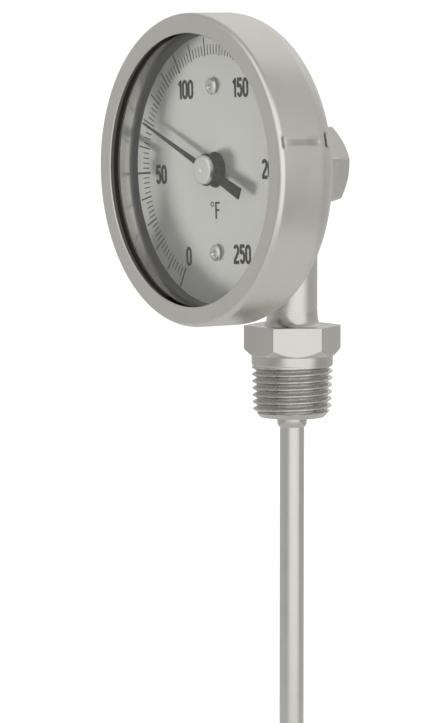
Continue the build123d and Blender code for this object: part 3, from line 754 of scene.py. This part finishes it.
def disc(name, low_y, high_y, radius, edge, angles):
    """A round plate with broken edges, each of its flat sides one face."""
    profile = [(low_y, radius - edge), (low_y + edge, radius)]
    profile += [(high_y - edge, radius), (high_y, radius - edge)]
    work = bmesh.new()
    rings = []
    for y, r in profile:
        rings.append([work.verts.new(round_dial(y, r, a) * MM) for a in angles])
    add_drum(work, rings)
    return finish_mesh(name, work)


glass = disc("window_pane", glass_low.y, glass_high.y, GLASS_R - 0.01, 0.25, even_angles(180))
add_piece("window_pane", glass, "head", "window", WINDOW, "window_glass")

SPACER_R = (spacer_high.x - spacer_low.x) / 2
SPACER_WALL = 1.0
SPACER_BORE_R = SPACER_R - SPACER_WALL
spacer = turned(
    "inner_ring",
    [
        (spacer_low.y, SPACER_BORE_R, 0.3),
        (spacer_low.y, SPACER_R, 0.2),
        (spacer_high.y, SPACER_R, 0.2),
        (spacer_high.y, SPACER_BORE_R, 0.2),
    ],
)
add_piece("inner_ring", spacer, "head", "polished_steel", POLISHED_STEEL, "spacer_ring")


# ------------------------------------------------------------ dial and its print
DIAL_R = (dial_high.x - dial_low.x) / 2
DIAL_HOLE_R = 4.6
PRINT_LIFT = 0.03
PRINT_SINK = 0.01
dial = turned(
    "dial",
    [
        (dial_low.y, DIAL_HOLE_R, 0.1),
        (dial_low.y, DIAL_R, 0.15),
        (dial_high.y, DIAL_R, 0.1),
        (dial_high.y, DIAL_HOLE_R),
    ],
)
add_piece("dial", dial, "head", "dial_white", DIAL_WHITE, "dial_plate")


def on_dial(x, y, lift):
    """A point on the clocked dial, x to the right and y up, raised from its face."""
    turn = math.radians(HEAD_CLOCKING)
    across = x * math.cos(turn) - y * math.sin(turn)
    up = x * math.sin(turn) + y * math.cos(turn)
    return Vector((across, dial_low.y - lift, DIAL_Z + up)) * MM


def add_stroke(work, points, width, closed=False):
    """A raised flat line of even width through points on the dial, with mitred bends."""
    left, right = [], []
    count = len(points)
    for i, point in enumerate(points):
        here = Vector(point)
        before = Vector(points[i - 1]) if i or closed else None
        after = Vector(points[(i + 1) % count]) if i < count - 1 or closed else None
        way_in = (here - before).normalized() if before else (after - here).normalized()
        way_out = (after - here).normalized() if after else way_in
        middle = (way_in + way_out).normalized()
        aside = Vector((-middle.y, middle.x))
        reach = width / 2 / max(0.5, aside.dot(Vector((-way_in.y, way_in.x))))
        left.append(here + aside * reach)
        right.append(here - aside * reach)
    add_prism_band(work, left, right, closed)


def add_prism_band(work, left, right, closed):
    """A closed raised band between two rows of points."""
    rows = []
    for lift in (PRINT_LIFT, -PRINT_SINK):
        rows.append([work.verts.new(on_dial(*p, lift)) for p in left])
        rows.append([work.verts.new(on_dial(*p, lift)) for p in right])
    top_left, top_right, low_left, low_right = rows
    loop = [top_left, top_right, low_right, low_left]
    count = len(left)
    for i in range(count if closed else count - 1):
        k = (i + 1) % count
        for this, following in zip(loop, loop[1:] + loop[:1]):
            work.faces.new((this[i], following[i], following[k], this[k]))
    if not closed:
        for end in (0, -1):
            work.faces.new([row[end] for row in loop])


def arc(centre, radii, start, end, steps=10):
    """Points on an ellipse's arc, by angles in degrees."""
    points = []
    for k in range(steps + 1):
        turn = math.radians(start + (end - start) * k / steps)
        points.append((centre[0] + radii[0] * math.cos(turn), centre[1] + radii[1] * math.sin(turn)))
    return points


# Numerals are drawn for a height of 2, centred, as strokes: half width, then lines of points.
BOLD = 0.37
GLYPHS = {
    "0": (0.45, [(arc((0, 0.45), (0.33, 0.4), 0, 180) + arc((0, -0.45), (0.33, 0.4), 180, 360), True)]),
    "1": (0.3, [([(0.12, -1.0), (0.12, 1.0)], False), ([(0.1, 0.78), (-0.02, 0.66), (-0.28, 0.5)], False)]),
    "2": (
        0.46,
        [
            (
                arc((0, 0.47), (0.33, 0.38), 165, 0, 10)
                + arc((-0.35, 0.47), (0.68, 0.75), -12, -50, 5)
                + [(-0.26, -0.6), (-0.32, -0.86)],
                False,
            ),
            ([(-0.47, -0.86), (0.47, -0.86)], False),
        ],
    ),
    "5": (
        0.46,
        [
            ([(0.43, 0.86), (-0.22, 0.86), (-0.31, 0.03)], False),
            (arc((0.0, -0.3), (0.33, 0.55), 140, -155, 14), False),
        ],
    ),
}
NUMERAL_HEIGHT = 4.9
NUMERAL_RADIUS = 24.0
GLYPH_GAP = 0.12


def add_number(work, text, centre, height):
    """Write a number in bold narrow strokes about a centre on the dial."""
    scale = height / 2
    total = sum(2 * GLYPHS[c][0] for c in text) + GLYPH_GAP * (len(text) - 1)
    x = -total / 2
    for c in text:
        half, strokes = GLYPHS[c]
        x += half
        for points, closed in strokes:
            placed = [(centre[0] + (x + px) * scale, centre[1] + py * scale) for px, py in points]
            add_stroke(work, placed, BOLD * scale, closed)
        x += half + GLYPH_GAP


SCALE_TOP = 250
ZERO_ANGLE = 240
DEGREES_PER_UNIT = 300 / SCALE_TOP


def at_reading(value, radius):
    """The scale's point for a reading. The low end is spread a little, as a bimetal needs."""
    spread = 1.3 * (1 - smooth_step(50, 100, value))
    turn = math.radians(ZERO_ANGLE + spread - value * DEGREES_PER_UNIT)
    return radius * math.cos(turn), radius * math.sin(turn)


ticks = bmesh.new()
for value in range(0, SCALE_TOP + 1, 2):
    if value % 50 == 0:
        inner, outer, width = 29.0, DIAL_R - 0.1, 0.52
    elif value % 10 == 0:
        inner, outer, width = 29.3, 34.2, 0.36
    else:
        inner, outer, width = 29.5, 32.2, 0.28
    add_stroke(ticks, [at_reading(value, inner), at_reading(value, outer)], width)
add_piece("dial_scale", finish_mesh("dial_scale", ticks), "head", "pointer_black", PRINT_BLACK)

# these numerals are set a little off the even circle
NUMERAL_SHIFTS = {0: (-0.9, -1.4), 50: (0.0, -0.6), 250: (-1.0, -0.9)}
numbers = bmesh.new()
for value in range(0, SCALE_TOP + 1, 50):
    across, up = at_reading(value, NUMERAL_RADIUS)
    shift_x, shift_y = NUMERAL_SHIFTS.get(value, (0, 0))
    add_number(numbers, str(value), (across + shift_x, up + shift_y), NUMERAL_HEIGHT)
add_piece("dial_numerals", finish_mesh("dial_numerals", numbers), "head", "pointer_black", PRINT_BLACK)

unit = bmesh.new()
UNIT_Y = -10.5
add_stroke(unit, arc((-1.45, UNIT_Y + 1.6), (0.62, 0.52), 0, 345, 23), 0.32, True)
add_stroke(unit, [(0.1, UNIT_Y - 2.2), (0.1, UNIT_Y + 2.2)], 0.7)
add_stroke(unit, [(0.1, UNIT_Y + 1.95), (1.85, UNIT_Y + 1.95)], 0.5)
add_stroke(unit, [(0.1, UNIT_Y + 0.1), (1.6, UNIT_Y + 0.1)], 0.5)
add_piece("dial_unit", finish_mesh("dial_unit", unit), "head", "pointer_black", PRINT_BLACK)


# ------------------------------------------------------------ dial screws
SCREW_PITCH_R = 21.4
HEAD_R = 2.15
HEAD_HEIGHT = dial_low.y - screw_low.y
RIM_HEIGHT = 0.12
CROWN_DROP = 0.55
SHANK_R = 1.45
RECESS_TURN = math.radians(28)


def recess_depth(x, y):
    """Depth of a cross recess at a point of the screw head."""
    reach, half, depth = 1.25, 0.27, 0.75
    arm_a = min(smooth_step(half + 0.1, half - 0.08, abs(x)), smooth_step(reach, 0.35, abs(y)))
    arm_b = min(smooth_step(half + 0.1, half - 0.08, abs(y)), smooth_step(reach, 0.35, abs(x)))
    return depth * max(arm_a, arm_b)


def crown_lift(r, x, y):
    """Height above the dial of the head's domed top, less its recess."""
    shoulder = smooth_step(1.2, HEAD_R, r)
    crown = HEAD_HEIGHT - RIM_HEIGHT - CROWN_DROP * shoulder**3
    across = x * math.cos(RECESS_TURN) + y * math.sin(RECESS_TURN)
    up = y * math.cos(RECESS_TURN) - x * math.sin(RECESS_TURN)
    return crown - recess_depth(across, up) + 0.1 * (1 - r / HEAD_R)


def screw_ring(work, side, r, flat_lift=None):
    """A ring of vertices round a screw, on its domed top or at one height above the dial."""
    ring = []
    for angle in range(0, 360, 3):
        x = r * math.cos(math.radians(angle))
        y = r * math.sin(math.radians(angle))
        lift = crown_lift(r, x, y) if flat_lift is None else flat_lift
        ring.append(work.verts.new(on_dial(x, side * SCREW_PITCH_R + y, lift)))
    return ring


def screw_mesh():
    """Two pan-head screws with cross recesses, as closed skins in one mesh."""
    work = bmesh.new()
    crown_radii = [0.02] + [0.1 * k for k in range(1, 20)] + [1.97, 2.05, 2.11, HEAD_R]
    foot = dial_low.y - screw_high.y
    for side in (1, -1):
        rings = [screw_ring(work, side, r) for r in crown_radii]
        for r, lift in ((HEAD_R, RIM_HEIGHT), (HEAD_R - 0.1, 0.0), (SHANK_R, 0.0), (SHANK_R, foot)):
            rings.append(screw_ring(work, side, r, lift))
        add_drum(work, rings)
    return finish_mesh("dial_screw_pair", work, 50)


add_piece("dial_screw_pair", screw_mesh(), "head", "screw_steel", SCREW_STEEL, "dial_screws")


# ------------------------------------------------------------ pointer
REST_READING = 70
POINTER_ANGLE = ZERO_ANGLE - REST_READING * DEGREES_PER_UNIT + HEAD_CLOCKING
TIP_R = 30.9
TAIL_R = 15.35
TAIL_END_HALF = 1.5
TAIL_ROOT_HALF = 1.15
NEEDLE_ROOT_HALF = 0.75
DISC_R = 4.15
BOSS_R = 1.5


def blade_outline():
    """The pointer's outline, tip along +x: needle, disc and flared tail."""
    upper = [(-TAIL_R, TAIL_END_HALF)]
    meet_tail = math.degrees(math.asin(TAIL_ROOT_HALF / DISC_R))
    meet_needle = math.degrees(math.asin(NEEDLE_ROOT_HALF / DISC_R))
    upper += arc((0, 0), (DISC_R, DISC_R), 180 - meet_tail, meet_needle, 24)
    upper += [(TIP_R - 0.5, 0.2), (TIP_R, 0.06)]
    return upper + [(x, -y) for x, y in reversed(upper)]


def blade_mesh():
    """The pointer's plate with broken edges, turned to its reading at rest."""
    work = bmesh.new()
    turn = math.radians(POINTER_ANGLE)
    outline = blade_outline()
    edge = 0.06
    levels = [(blade_low.y, edge), (blade_low.y + edge, 0), (blade_high.y - edge, 0), (blade_high.y, edge)]
    rings = []
    for y, inset in levels:
        ring = []
        for i, point in enumerate(outline):
            before = Vector(outline[i - 1])
            after = Vector(outline[(i + 1) % len(outline)])
            way = (after - before).normalized()
            x, z = Vector(point) + Vector((way.y, -way.x)) * inset
            across = x * math.cos(turn) - z * math.sin(turn)
            up = x * math.sin(turn) + z * math.cos(turn)
            ring.append(work.verts.new(Vector((across, y, DIAL_Z + up)) * MM))
        rings.append(ring)
    add_drum(work, rings)
    return finish_mesh("pointer_needle", work, 25)


add_piece("pointer_needle", blade_mesh(), "pointer", "pointer_black", POINTER_BLACK, "pointer_blade")

HUB_R = (hub_high.x - hub_low.x) / 2
hub = turned(
    "pointer_cap",
    [
        (hub_low.y + 0.35, 0.03),
        (hub_low.y + 0.35, 0.35, 0.1),
        (hub_low.y + 0.02, 0.6, 0.1),
        (hub_low.y, HUB_R - 0.5, 0.3),
        (hub_low.y + 0.28, HUB_R, 0.25),
        (blade_low.y, HUB_R, 0.15),
        (blade_low.y, BOSS_R),
        (hub_high.y, BOSS_R),
        (hub_high.y, 0.8),
        (hub_low.y + 0.8, 0.8),
        (hub_low.y + 0.8, 0.03),
    ],
    angles=even_angles(96),
)
add_piece("pointer_cap", hub, "pointer", "hub_silver", HUB_SILVER, "pointer_hub")


# ------------------------------------------------------------ floor, light, camera
def floor_material():
    """Plain pale paper."""
    made, _, shader = start_material("studio_floor")
    shader.inputs["Base Color"].default_value = (0.92, 0.92, 0.91, 1)
    shader.inputs["Roughness"].default_value = 0.8
    return made


FLOOR_R = 0.35  # metres, as the places of the lamps and the camera are
FLOOR_GAP = 0.0005
floor_mesh = bpy.data.meshes.new("studio_floor")
ground = bmesh.new()
bmesh.ops.create_circle(ground, cap_ends=True, segments=96, radius=FLOOR_R)
ground.to_mesh(floor_mesh)
ground.free()
floor_mesh.materials.append(floor_material())
studio_floor = bpy.data.objects.new("studio_floor", floor_mesh)
studio_floor.location = (0, 0, cad_low.z - FLOOR_GAP)
bpy.context.scene.collection.objects.link(studio_floor)


def direction(azimuth, elevation):
    """Unit vector from the object: azimuth 0 is -Y, the dial's side, and 90 is +X."""
    a, e = math.radians(azimuth), math.radians(elevation)
    return Vector((math.sin(a) * math.cos(e), -math.cos(a) * math.cos(e), math.sin(e)))


WORLD_LEVEL = 0.5
WORLD_COLOUR = (1.0, 0.99, 0.965, 1)
BACKDROP_LEVEL = 1.1
# soft panels on the studio's walls: azimuth, elevation, outer and inner half angle, strength
PANELS = [
    (72, 5, 60, 28, 0.7),
    (-60, 5, 50, 20, 0.08),
    (215, 42, 42, 15, 0.32),
    (150, 38, 50, 15, 0.09),
    (-155, 5, 50, 20, 0.08),
    (8, 42, 36, 12, 0.55),
    (14, -30, 22, 8, 0.45),
]


def make_world():
    """A pale studio seen all round, with soft brighter panels, and white behind the object."""
    world = bpy.data.worlds.new("studio")
    bpy.context.scene.world = world
    world.use_nodes = True
    tree = world.node_tree
    ray = add_node(tree, "ShaderNodeTexCoord").outputs["Generated"]
    level = WORLD_LEVEL
    for azimuth, elevation, outer, inner, strength in PANELS:
        facing = add_node(
            tree,
            "ShaderNodeVectorMath",
            {0: ray, 1: direction(azimuth, elevation)},
            operation="DOT_PRODUCT",
        )
        start = math.cos(math.radians(outer))
        end = math.cos(math.radians(inner))
        glow = map_range(tree, facing.outputs["Value"], start, end, 0.0, strength, "SMOOTHSTEP")
        level = add_math(tree, "ADD", level, glow)
    studio = tree.nodes["Background"]
    studio.inputs["Color"].default_value = WORLD_COLOUR
    tree.links.new(level, studio.inputs["Strength"])
    white = add_node(tree, "ShaderNodeBackground", {"Color": (1, 1, 1, 1), "Strength": BACKDROP_LEVEL})
    rays = add_node(tree, "ShaderNodeLightPath")
    mixed = add_node(
        tree,
        "ShaderNodeMixShader",
        {0: rays.outputs["Is Camera Ray"], 1: studio.outputs[0], 2: white.outputs[0]},
    )
    tree.links.new(mixed.outputs[0], tree.nodes["World Output"].inputs["Surface"])


make_world()


LAMP_COLOUR = (1.0, 0.99, 0.97)
LAMP_DISTANCE = 1.2


def add_lamp(name, azimuth, elevation, size, power):
    """A square light aimed at the dial's centre, which no surface mirrors."""
    lamp = bpy.data.lights.new(name, "AREA")
    lamp.size = size
    lamp.energy = power
    lamp.color = LAMP_COLOUR
    holder = bpy.data.objects.new(name, lamp)
    away = direction(azimuth, elevation)
    holder.location = Vector((0, FRONT_Y, DIAL_Z)) * MM + away * LAMP_DISTANCE
    holder.rotation_mode = "QUATERNION"
    holder.rotation_quaternion = away.to_track_quat("Z", "Y")
    holder.visible_camera = False
    holder.visible_glossy = False
    holder.visible_transmission = False
    bpy.context.scene.collection.objects.link(holder)
    return holder


add_lamp("key", -53, -16, 0.3, 20.0)
side = add_lamp("side", 80.5, 0, 0.03, 90.0)

# the side lamp lights the thermometer and leaves the floor even
unlit = bpy.data.collections.new("not_lit_from_the_side")
unlit.objects.link(studio_floor)
unlit.collection_objects[0].light_linking.link_state = "EXCLUDE"
side.light_linking.receiver_collection = unlit

# The camera stands to the reader's right of the dial, a little above it.
CAMERA_AZIMUTH = 53.0
CAMERA_ELEVATION = 2.531
CAMERA_DISTANCE = 1.0
AIM_AZIMUTH = 54.093
AIM_ELEVATION = 5.44
LENS = 190.6
camera_data = bpy.data.cameras.new("camera")
camera_data.lens = LENS
camera_data.sensor_width = 36
camera_data.clip_start = 0.01
camera = bpy.data.objects.new("camera", camera_data)
camera_away = direction(CAMERA_AZIMUTH, CAMERA_ELEVATION)
camera.location = Vector((0, 0, DIAL_Z * MM)) + camera_away * CAMERA_DISTANCE
camera.rotation_mode = "QUATERNION"
camera.rotation_quaternion = direction(AIM_AZIMUTH, AIM_ELEVATION).to_track_quat("Z", "Y")
bpy.context.scene.collection.objects.link(camera)
bpy.context.scene.camera = camera
bpy.context.scene.view_settings.view_transform = "Standard"
